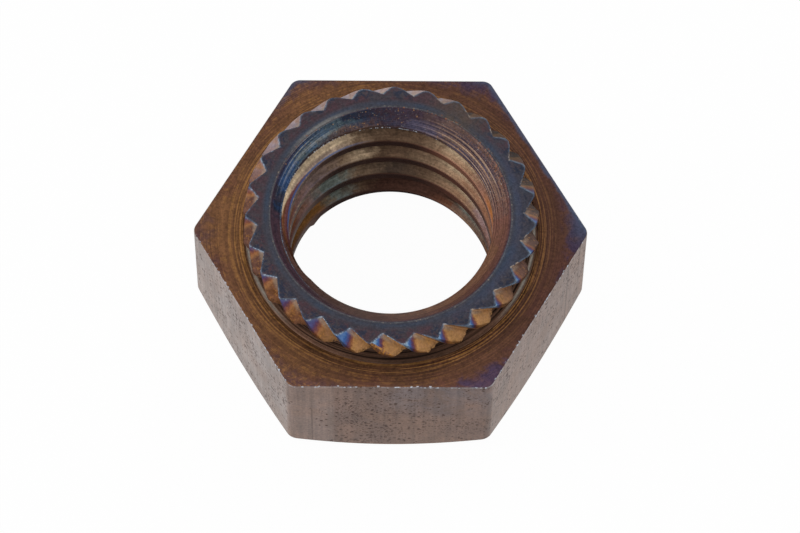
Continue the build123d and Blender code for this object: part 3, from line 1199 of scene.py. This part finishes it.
def make_teeth_finish(tones):
    """The notches' facets: blue at a tooth's tip, then purple and rust, over the tone of their side, which
    is partly painted light and shade.
    """
    coat = Coat("tinted_teeth", 0.7, 0.38)
    place = coat.place
    position, height, turn, back = place.position, place.height, place.turn, place.back
    crease, luck = coat.attribute("crease_gap"), coat.attribute("notch_luck")
    drop = COLLAR_TOP - height
    hatch = noise(coat.vector("MULTIPLY", position, (9.0, 9.0, 1.6)), 1.0, 2.0, 0.6)
    cloud = mottle(position, 0.4)
    # Tone of the broad facets, by the side of the ring that they are on: partly oxide, and partly painted
    # light, pale lilac at the back and dark umber at the back right where they lie in shade
    base = ramp(
        turn, (0.0, tones.facet_dusk), (0.05, tones.facet_umber), (0.16, tones.facet_umber),
        (0.2, tones.facet_lilac), (0.4, tones.facet_lilac), (0.46, tones.facet_mauve),
        (0.56, tones.facet_mauve), (0.6, tones.facet_chestnut), (0.66, tones.facet_chestnut),
        (0.7, tones.facet_gold), (0.87, tones.facet_gold), (0.92, tones.facet_mauve),
        (1.0, tones.facet_dusk))
    # Film of oxide, thickest at a tooth's tip
    away = drop + (crease * -0.75 + 0.4)
    away = away + (hatch * 0.2 - 0.1)
    away = away + (luck * 0.3 - 0.22)
    away = away + band(turn, 0.57, 0.14) * 0.1
    film = fade(away, 0.64, -0.02)
    front = fade(abs(turn - 0.84), 0.19, 0.1)
    far = fade(back, 1.0, 4.0)
    growth = film * (front * 0.28 + (far * -0.3 + 0.56))
    heat = coat.group("heat tint", Film=growth)[0]
    coat.color = shade(base, cloud, 0.72, 1.2)
    rusty = fade(hatch, 0.52, 0.72) * fade(back, 5.0, 2.0)
    coat.tint(tones.facet_amber, rusty * 0.45)
    top = fade(drop, 0.4, 0.1) * band(turn, 0.54, 0.17)
    coat.tint(tones.collar_maroon, top * 0.75)
    coat.tint(heat, fade(film, 0.1, 0.42) * (far * -0.55 + 1.0))
    coat.tint(tones.sink_brown, fade(film, 0.2, 0.0) * (cloud * 0.45))
    # Painted reflection: a tan streak in the bottom of a notch, where the rounded valley catches the light
    valley = band(crease, 0.1, 0.16) * fade(drop, 0.6, 0.2)
    valley = valley * (band(turn, 0.08, 0.14) * -0.7 + 1.0)
    coat.tint(tones.facet_tan, valley * (hatch * 0.7 + 0.35))
    # Steep facets, by their side of the ring as well and partly painted light, streaked with brown
    lit = ramp(
        turn, (0.0, tones.facet_dusk), (0.05, tones.facet_umber), (0.18, tones.facet_umber),
        (0.25, tones.facet_lilac), (0.4, tones.facet_lilac), (0.46, tones.facet_tan),
        (0.6, tones.facet_tan), (0.68, tones.facet_amber), (0.93, tones.facet_amber),
        (1.0, tones.facet_dusk))
    steep = fade(crease, 0.0, -0.06)
    narrow = mix(fade(hatch, 0.38, 0.6), tones.sink_brown, lit)
    coat.tint(narrow, steep * 0.85)
    # Painted shade at the back right, where the teeth lie in shadow over torn metal, and towards the foot
    # under the lobes, with dark pits
    hidden = band(turn, 0.1, 0.13)
    coat.shade(hidden, 1.0, 0.5)
    foot = fade(height, 8.2, 8.03)
    coat.shade(foot * fade(hatch, 0.35, 0.6), 1.0, 0.5)
    coat.shade(hatch, 0.8, 1.2)
    coat.add_grain(0.14)
    pits = specks(position, 0.11, 0.5, 0.24)
    deep = highest(foot, steep, hidden) * 0.75 + 0.12
    coat.tint(tones.groove_dark, pits * deep)
    add_rim(coat, tones)
    coat.feed(coat.shader["Metallic"], hidden * -0.6 + 0.7)
    coat.feed(coat.shader["Roughness"], hidden * 0.3 + 0.38)
    return coat.finish(hatch, 0.012)


def make_sink_finish(tones):
    """The lead-in: blue on the left, plum behind, rust on the right and brown in front."""
    coat = Coat("tinted_lead_in", 0.75, 0.42)
    place = coat.place
    position, radius, turn, back = place.position, place.radius, place.turn, place.back
    cloud = mottle(position, 0.7, 4.0)
    small = mottle(position, 0.2, 14.0)
    warped = turn + (cloud * 0.04 - 0.02)
    upper = ramp(
        warped, (0.0, tones.sink_rust), (0.05, tones.sink_dust), (0.15, tones.sink_dust),
        (0.2, tones.sink_plum), (0.26, tones.sink_plum), (0.3, tones.collar_navy), (0.345, tones.sink_teal),
        (0.425, tones.sink_blue), (0.45, tones.sink_blue), (0.478, tones.collar_navy),
        (0.515, tones.sink_maroon), (0.62, tones.sink_maroon), (0.72, tones.sink_brown),
        (0.84, tones.sink_rust), (0.93, tones.sink_rust), (1.0, tones.sink_rust))
    lower = ramp(
        warped, (0.0, tones.sink_rust), (0.06, tones.sink_dust), (0.15, tones.sink_dust),
        (0.2, tones.sink_violet), (0.25, tones.sink_plum), (0.32, tones.sink_dust), (0.38, tones.sink_teal),
        (0.43, tones.sink_blue), (0.455, tones.sink_blue), (0.48, tones.collar_navy),
        (0.51, tones.sink_maroon), (0.56, tones.sink_brown), (0.74, tones.sink_brown),
        (0.82, tones.sink_copper), (0.94, tones.sink_copper), (1.0, tones.sink_rust))
    coat.color = mix(fade(cloud * 0.2 + radius, 5.75, 5.5), upper, lower)
    # Navy patches at the back, with an olive shelf under them
    patches = band(turn, 0.29, 0.11) * fade(small, 0.35, 0.8)
    coat.tint(tones.collar_navy, patches * 0.7)
    shelf = band(radius, 5.2, 0.1) * band(turn, 0.31, 0.07)
    coat.tint(tones.thread_olive, shelf * 0.8)
    # Turning marks with tones of their own at the right and at the left
    lines = turning(radius, place.direction, 19.0, 0.9)
    streaks = turning(radius, place.direction, 8.0, 1.6)
    busy = band(turn, 0.1, 0.13) * fade(radius, 5.8, 5.62)
    at_right = ramp(
        lines, (0.08, tones.sink_plum), (0.3, tones.sink_violet), (0.5, tones.sink_dust),
        (0.7, tones.thread_clay), (0.95, tones.facet_tan))
    coat.tint(at_right, busy * 0.9)
    speckled = band(turn, 0.07, 0.13) * fade(radius, 5.5, 5.68)
    dots = mottle(position, 0.11, 6.0)
    coat.tint(tones.sink_plum, speckled * (fade(dots, 0.55, 0.9) * 0.85))
    coat.tint(tones.facet_rust, speckled * (fade(dots, 0.4, 0.1) * 0.6))
    at_left = ramp(
        lines, (0.05, tones.sink_plum), (0.3, tones.sink_blue), (0.6, tones.sink_teal),
        (0.95, tones.groove_pale))
    coat.tint(at_left, band(turn, 0.4, 0.09) * (streaks * 0.5 + 0.2))
    line = band(radius, 5.36, 0.02) * band(turn, 0.11, 0.1)
    coat.tint(tones.facet_gold, line * 0.6)
    coat.shade(band(turn, 0.38, 0.12) * fade(dots, 0.45, 0.1), 1.0, 0.62)
    # Maroon and plum under the upper edge, in front and at the left
    outer = fade(radius, 5.75, 5.87) * fade(back, 2.5, 0.0)
    coat.tint(tones.sink_maroon, outer * 0.6)
    left_edge = fade(radius, 5.72, 5.84) * band(turn, 0.44, 0.09)
    coat.tint(tones.sink_plum, left_edge * 0.7)
    coat.shade(lines, 0.8, 1.2)
    coat.shade(cloud, 0.88, 1.12)
    coat.shade(small, 0.88, 1.12)
    coat.add_grain(0.2)
    # Golden flecks and pale dust
    warm = fade(back, 1.0, 4.5) * 0.11 + 0.02
    flecks = specks(position, 0.085, 0.42, warm)
    coat.tint(tones.facet_gold, flecks * (cloud * 0.55 + 0.15))
    dust = specks(coat.vector("ADD", position, (3.0, 5.0, 1.0)), 0.065, 0.45, 0.16)
    dusty = band(turn, 0.05, 0.1) * 0.3 + 0.25
    dust = dust * (fade(small, 0.3, 0.8) * dusty + 0.05)
    coat.tint(tones.groove_pale, dust * (fade(back, -1.0, 2.0) * 0.8 + 0.2))
    add_feather_edge(coat, tones)
    return coat.finish(lines, 0.012)


def make_thread_finish(tones):
    """The thread: tan flanks, darker on the far side and further down, with dark crests and roots that are
    partly painted shade.
    """
    coat = Coat("tinted_thread", 0.8, 0.4, 0.1)
    coat.shader["Specular Tint"].default_value = THREAD_SHINE
    place = coat.place
    position, turn, phase, coil = place.position, place.turn, place.thread, place.coil
    streaks = turning(phase, place.direction, 34.0, 2.4)
    cloud = mottle(position, 0.9, 8.0)
    small = mottle(position, 0.2, 19.0)
    warped = (cloud - 0.5) * 0.025 + turn
    # Tones round the last turn of the thread, and round those below it
    first = ramp(
        warped, (0.0, tones.thread_clay), (0.075, tones.thread_lilac), (0.12, tones.thread_tan),
        (0.15, tones.thread_tan), (0.18, tones.thread_olive), (0.21, tones.thread_umber),
        (0.265, tones.thread_umber), (0.3, tones.thread_olive), (0.345, tones.thread_pale),
        (0.6, tones.thread_pale), (0.75, tones.thread_olive))
    second = ramp(
        warped, (0.0, tones.thread_clay), (0.09, tones.thread_clay), (0.13, tones.thread_tan),
        (0.15, tones.thread_tan), (0.18, tones.thread_olive), (0.22, tones.thread_umber),
        (0.27, tones.thread_umber), (0.305, tones.thread_tan), (0.335, tones.thread_olive),
        (0.39, tones.thread_mauve), (0.46, tones.thread_rust))
    third = ramp(
        warped, (0.0, tones.thread_clay), (0.08, tones.facet_lilac), (0.12, tones.thread_tan),
        (0.165, tones.thread_olive), (0.195, tones.thread_umber), (0.245, tones.facet_umber),
        (0.3, tones.thread_olive), (0.33, tones.thread_teal), (0.36, tones.thread_teal),
        (0.395, tones.thread_lilac), (0.43, tones.thread_rust))
    fourth = ramp(
        warped, (0.0, tones.thread_rust), (0.08, tones.thread_teal), (0.12, tones.thread_teal),
        (0.155, tones.thread_crest), (0.26, tones.thread_crest), (0.3, tones.thread_umber),
        (0.335, tones.thread_teal), (0.365, tones.thread_ochre), (0.5, tones.thread_ochre))
    last = coil > -0.5
    coat.color = mix(coil > -2.5, fourth, third)
    coat.tint(second, coil > -1.5)
    coat.tint(first, last)
    # Rust and purple on the last turn
    at_left = fade(turn, 0.34, 0.4)
    inside = turn * 2.8 + 4.05 - place.radius
    inside = fade(cloud * 0.06 + inside, 0.0, 0.07)
    rust = last * inside * fade(turn, 0.33, 0.37)
    coat.tint(tones.thread_rust, rust)
    purple = last * band(phase, 0.19, 0.05) * fade(turn, 0.3, 0.36)
    coat.tint(tones.facet_purple, purple * 0.45)
    coat.shade(streaks, 0.8, 1.16)
    coat.shade(cloud, 0.88, 1.12)
    coat.shade(small, 0.86, 1.14)
    # Orange, rust and a pale sheen on the right
    orange = band(turn, 0.04, 0.045) * band(phase, 0.15, 0.06) * last
    coat.tint(tones.thread_orange, orange * 0.9)
    near_right = fade(turn, 0.09, 0.03) * fade(streaks, 0.5, 0.85)
    coat.tint(tones.thread_rust, near_right * 0.5)
    sheen = band(turn, 0.105, 0.07) * fade(streaks, 0.55, 0.1)
    coat.tint(tones.thread_pale, sheen * 0.45)
    under = fade(phase, 0.26, 0.18) * fade(turn, 0.2, 0.12)
    coat.tint(tones.thread_rust, under * 0.6)
    coat.add_grain(0.22)
    # Beads of burr at the left painted pale as highlights, painted shade in the roots, and a blue line
    # beside the crest
    flecks = specks(position, 0.125, 0.62, 0.6)
    beads = fade(phase, 0.2, 0.32) * (last * -0.55 + 0.95)
    coat.tint(tones.cream_burr_highlight, flecks * (at_left * beads))
    root = fade(abs(phase), 0.42, 0.49)
    coat.tint(tones.thread_crest, root * 0.7)
    blue = band(phase, 0.148, 0.028) * (fade(turn, 0.27, 0.36) * fade(turn, 0.7, 0.6))
    blue = blue * (last * 0.8 + 0.1)
    coat.tint(tones.thread_blue, blue)
    # Dark crests, partly painted shade where they mirror the dark bore, which are worn and paler away from
    # the far side
    crest = fade(abs(phase), 0.15, 0.125)
    brown = fade(turn, 0.22, 0.13) * (last * 0.6 + 0.4)
    dark = mix(brown, tones.thread_crest, tones.thread_chestnut)
    beaded = flecks * (coil > -1.5)
    worn = mix(beaded * 0.8 + 0.1, tones.thread_mauve, tones.thread_pale)
    dark = mix(fade(turn, 0.335, 0.43) * 0.8, dark, worn)
    coat.tint(dark, crest * 0.95)
    add_feather_edge(coat, tones)
    return coat.finish(streaks, 0.008, 0.5)


def add_feather_edge(coat, tones):
    """Lays on the ragged edge where the thread's last groove comes through the lead-in, with a painted
    shadow line along it and burr specks of painted highlight.
    """
    position, turn = coat.place.position, coat.place.turn
    ragged = noise(position, 8.0, 2.0, 0.7)
    gap = coat.place.height - (turn * FEATHER_RISE + FEATHER_START) + (ragged * 0.12 - 0.06)
    along = fade(turn, 0.12, 0.17) * fade(turn, 0.67, 0.6)
    # Painted shadow along the edge
    dark = band(gap, 0.035, 0.07) * fade(turn, 0.46, 0.38)
    coat.tint(tones.groove_dark, dark * along * 0.9)
    # Painted highlights on the burrs
    burrs = specks(position, 0.1, 0.62, 0.5)
    bright = band(gap, 0.0, 0.05) * burrs
    coat.tint(tones.rim_highlight, bright * along * 0.75)
    blue = band(gap, 0.01, 0.035) * (fade(turn, 0.44, 0.49) * along)
    coat.tint(tones.rim_blue, blue * fade(ragged, 0.3, 0.6))


FINISHES = (
    make_flats_finish, make_face_finish, make_groove_finish, make_collar_finish,
    make_teeth_finish, make_sink_finish, make_thread_finish)
FLATS, FACE, GROOVE, COLLAR, TEETH, SINK, THREAD = range(7)

# How close a face lies to the turned surface that it is part of, and how steeply it faces up or
# down, as the height of its normal
SURFACE_GAP = 0.01 * mm
TOP_SLOPE, LEAD_IN_SLOPE = 0.5, 0.8
UNDER_SLOPES = (-0.8, -0.6)

# Shares of the rounded edges that still count as the top face and as the collar's top
EDGE_SHARE, RIM_SHARE = 0.35, 0.5


def read_faces(mesh, name):
    values = np.empty(len(mesh.polygons) * 3)
    mesh.polygons.foreach_get(name, values)
    return values.reshape(-1, 3)


def share_out_finishes(nut, body, ring, bore):
    """Gives each face the finish of the surface that it is part of."""
    radius, _, height = round_place(read_faces(nut.data, "center"))
    slope = read_faces(nut.data, "normal")[:, 2]
    base, top, deck = ring_base(body), ring.collar_top, body.body_height
    neck, recess = body.neck_diameter / 2 - SURFACE_GAP, body.recess_diameter / 2
    finish = np.full(len(height), FLATS)
    finish[(height > deck - body.edge_break * EDGE_SHARE) & (radius > recess)] = FACE
    groove = (height > deck - body.recess_depth - SURFACE_GAP) & (height < (base + top) / 2 + SURFACE_GAP)
    finish[groove & (radius < recess + SURFACE_GAP) & (radius > neck)] = GROOVE
    finish[(height > base + SURFACE_GAP) & (radius > neck)] = TEETH
    finish[(height > top - ring.rim * RIM_SHARE) & (slope > TOP_SLOPE)] = COLLAR
    inside = (radius < bore.major_diameter / 2 + SURFACE_GAP) & (height > SURFACE_GAP)
    finish[inside & (height <= top - SURFACE_GAP)] = THREAD
    lead_in = np.abs(top - height + radius - bore.top_sink_diameter / 2) < SURFACE_GAP
    finish[lead_in & (height > base - TOOL_OVERLAP) & (slope < LEAD_IN_SLOPE)] = SINK
    under = np.abs(radius + height - bore.bottom_sink_diameter / 2) < 3 * SURFACE_GAP
    finish[under & (slope > UNDER_SLOPES[0]) & (slope < UNDER_SLOPES[1])] = GROOVE
    nut.data.polygons.foreach_set("material_index", finish.astype(np.int32))


def write_attribute(mesh, name, values):
    mesh.attributes.new(name, "FLOAT", "POINT").data.foreach_set("value", values)


# Points near the ring are measured, and the others count as far away from it. That distance, the
# widest gap from a crease and the reach of a notch's luck are in millimetres.
MEASURED_HEIGHT = 1.2 * mm
MEASURED_RADIUS = 5.5 * mm
FAR_AWAY = 9.0
WIDEST_GAP = 1.2
LUCK_REACH = 0.9


def measure_teeth(nut, body, ring, frames):
    """Writes how far each point is from the rim and from its notch's crease, in millimetres."""
    radius, angle, height = round_place(read_points(nut.data))
    top = ring.collar_top
    near = (height > top - MEASURED_HEIGHT) & (radius > MEASURED_RADIUS)
    rim_gap, crease_gap = np.full(len(height), FAR_AWAY), np.full(len(height), FAR_AWAY)
    notch_luck = np.zeros(len(height))
    radius, angle, height = radius[near], angle[near], height[near]
    outline = ring_radius(frames, body, ring, angle, np.full_like(angle, top))
    inset = np.where(height > top - ring.rim * 0.9, outline - radius, 0)
    rim_gap[near] = (np.clip(inset, 0, None) + top - height) / mm
    gap, luck = np.full_like(angle, FAR_AWAY), np.zeros_like(angle)
    for index, notch in enumerate(frames):
        _, _, crease = notch_planes(notch)
        place = notch["valley"] + crease * ((height - top) / crease[2])[:, None]
        offset = angle_about(angle, np.arctan2(place[:, 1], place[:, 0]))
        nearer = np.abs(offset) < np.abs(gap)
        away = -offset * ring.tip_diameter / 2 / mm
        gap = np.where(nearer & (np.abs(away) < WIDEST_GAP), away, gap)
        scattered = math.sin(index * 12.9898) * 0.5 + 0.5
        luck = np.where(nearer & (np.abs(away) < LUCK_REACH), scattered, luck)
    crease_gap[near] = gap
    notch_luck[near] = luck
    write_attribute(nut.data, "rim_gap", rim_gap)
    write_attribute(nut.data, "crease_gap", crease_gap)
    write_attribute(nut.data, "notch_luck", notch_luck)


class MATERIAL_OT_clinch_nut(bpy.types.Operator):
    """Makes the steel's finishes and shares them out over the nut's surfaces"""

    bl_idname = "material.clinch_nut_finish"
    bl_label = "Finish Clinch Nut"

    def execute(self, context):
        scene = context.scene
        body, ring, bore, tones = scene.nut_body, scene.nut_ring, scene.nut_bore, scene.nut_tones
        make_place_group(body, bore)
        make_turning_group()
        make_mottle_group()
        make_speck_group()
        make_tint_group(tones)
        nut = bpy.data.objects[PIECE]
        nut.data.materials.clear()
        for make in FINISHES:
            nut.data.materials.append(make(tones))
        share_out_finishes(nut, body, ring, bore)
        measure_teeth(nut, body, ring, notch_frames(body, ring))
        return {"FINISHED"}


# Size of the floor in metres and its paint, how much of a pure white it shows where it is seen
# directly, and how bright the surroundings are as a light
FLOOR_SIZE = 4.0
FLOOR_PAINT = (0.82, 0.82, 0.82)
FLOOR_WHITENESS = 0.97
SURROUNDINGS = 0.55

# Each lamp's place and size in metres, and its power in watts
LAMPS = {
    "overhead": ((-0.12, -0.16, 0.62), 0.5, 1.5),
    "back": ((0.25, 0.42, 0.38), 0.3, 0.5),
    "left": ((-0.5, 0.05, 0.3), 0.3, 0.45),
}


class NUT_OT_stage(bpy.types.Operator):
    """Sets up the pale floor, the soft lights and the camera"""

    bl_idname = "scene.clinch_nut_stage"
    bl_label = "Set Up Stage"

    def execute(self, context):
        scene = context.scene
        bpy.ops.object.select_all(action="DESELECT")
        bpy.ops.mesh.primitive_plane_add(size=FLOOR_SIZE)
        floor = context.object
        floor.name = "floor"
        floor.data.materials.append(make_floor_finish())
        scene.view_settings.view_transform = "Standard"
        place_camera(scene.nut_stage, scene)
        make_world(scene)
        for name, (place, size, power) in LAMPS.items():
            add_lamp(name, place, size, power)
        return {"FINISHED"}


def seen_directly(g):
    """1 for rays from the camera, off a mirror or through glass."""
    path = g.add("ShaderNodeLightPath").outputs
    rays = ("Is Camera Ray", "Is Glossy Ray", "Is Transmission Ray")
    return highest(*(Value(g, path[ray]) for ray in rays))


def make_floor_finish():
    """A pale floor that reads as white and keeps the nut's shadow."""
    material = bpy.data.materials.new("pale_floor")
    material.use_nodes = True
    tree = material.node_tree
    tree.nodes.remove(tree.nodes["Principled BSDF"])
    g = Graph(tree)
    soft = noise(g.read("ShaderNodeTexCoord", "Object"), 6.0, 2.0, 0.5)
    paint = g.read("ShaderNodeBsdfDiffuse", 0, {"Color": shade(FLOOR_PAINT, soft, 0.99, 1.01)})
    glow = g.read("ShaderNodeEmission", 0, {"Strength": 1.0})
    surface = g.read("ShaderNodeMixShader", 0, {0: seen_directly(g) * FLOOR_WHITENESS, 1: paint, 2: glow})
    g.feed(tree.nodes["Material Output"].inputs["Surface"], surface)
    return material


def make_world(scene):
    """Even pale surroundings, white where they are seen directly or in the steel."""
    world = bpy.data.worlds.new("studio")
    scene.world = world
    world.use_nodes = True
    g = Graph(world.node_tree)
    background = world.node_tree.nodes["Background"].inputs
    background["Color"].default_value = (1.0, 1.0, 1.0, 1.0)
    g.feed(background["Strength"], seen_directly(g) * (1 - SURROUNDINGS) + SURROUNDINGS)


def add_lamp(name, place, size, power):
    """A soft square lamp that points at the nut."""
    bpy.ops.object.select_all(action="DESELECT")
    bpy.ops.object.light_add(type="AREA", location=place)
    lamp = bpy.context.object
    lamp.name = name
    lamp.rotation_euler = Vector(place).to_track_quat("Z", "Y").to_euler()
    lamp.data.size = size
    lamp.data.energy = power


def place_camera(stage, scene):
    """Aims the camera past the middle of the hexagon's top face, and turns it about its own axis."""
    down, roll = stage.elevation, stage.roll
    right = Vector((1, 0, 0))
    forward = Vector((0, math.cos(down), -math.sin(down)))
    up = Vector((0, math.sin(down), math.cos(down)))
    camera_right = right * math.cos(roll) - up * math.sin(roll)
    camera_up = right * math.sin(roll) + up * math.cos(roll)
    place = -(camera_right * stage.aim_right + camera_up * stage.aim_up + forward * stage.distance)
    turn = Matrix.Rotation(-stage.yaw, 3, "Z")
    axes = Matrix((turn @ camera_right, turn @ camera_up, -(turn @ forward))).transposed()
    place = turn @ place + Vector((0, 0, scene.nut_body.body_height))
    bpy.ops.object.select_all(action="DESELECT")
    bpy.ops.object.camera_add()
    camera = bpy.context.object
    camera.name = "camera"
    camera.matrix_world = Matrix.Translation(place) @ axes.to_4x4()
    camera.data.lens = stage.lens
    camera.data.sensor_width = SENSOR_WIDTH
    camera.data.clip_start, camera.data.clip_end = CLIP_START, CLIP_END
    scene.camera = camera


class NUT_PT_panel(bpy.types.Panel):
    """Lists the nut's sizes and its build steps"""

    bl_label = "Clinch Nut"
    bl_idname = "NUT_PT_panel"
    bl_space_type = "VIEW_3D"
    bl_region_type = "UI"
    bl_category = "Clinch Nut"

    def draw(self, context):
        layout = self.layout
        for group in GROUPS:
            settings = getattr(context.scene, group)
            column = layout.column(align=True)
            for name in settings.__annotations__:
                column.prop(settings, name)
        for step in STEPS:
            layout.operator(step.bl_idname)


GROUPS = {
    "nut_body": NutBodySizes,
    "nut_ring": ClinchRingSizes,
    "nut_bore": BoreSizes,
    "nut_tones": NutTones,
    "nut_stage": NutStage,
}
STEPS = (MESH_OT_clinch_nut, MATERIAL_OT_clinch_nut, NUT_OT_stage)


def register():
    for name, group in GROUPS.items():
        bpy.utils.register_class(group)
        setattr(bpy.types.Scene, name, bpy.props.PointerProperty(type=group))
    for item in STEPS + (NUT_PT_panel,):
        bpy.utils.register_class(item)


def unregister():
    for item in (NUT_PT_panel,) + STEPS:
        bpy.utils.unregister_class(item)
    for name, group in GROUPS.items():
        delattr(bpy.types.Scene, name)
        bpy.utils.unregister_class(group)


def main():
    register()
    bpy.ops.mesh.clinch_nut_add()
    bpy.ops.material.clinch_nut_finish()
    bpy.ops.scene.clinch_nut_stage()


if __name__ == "__main__":
    main()
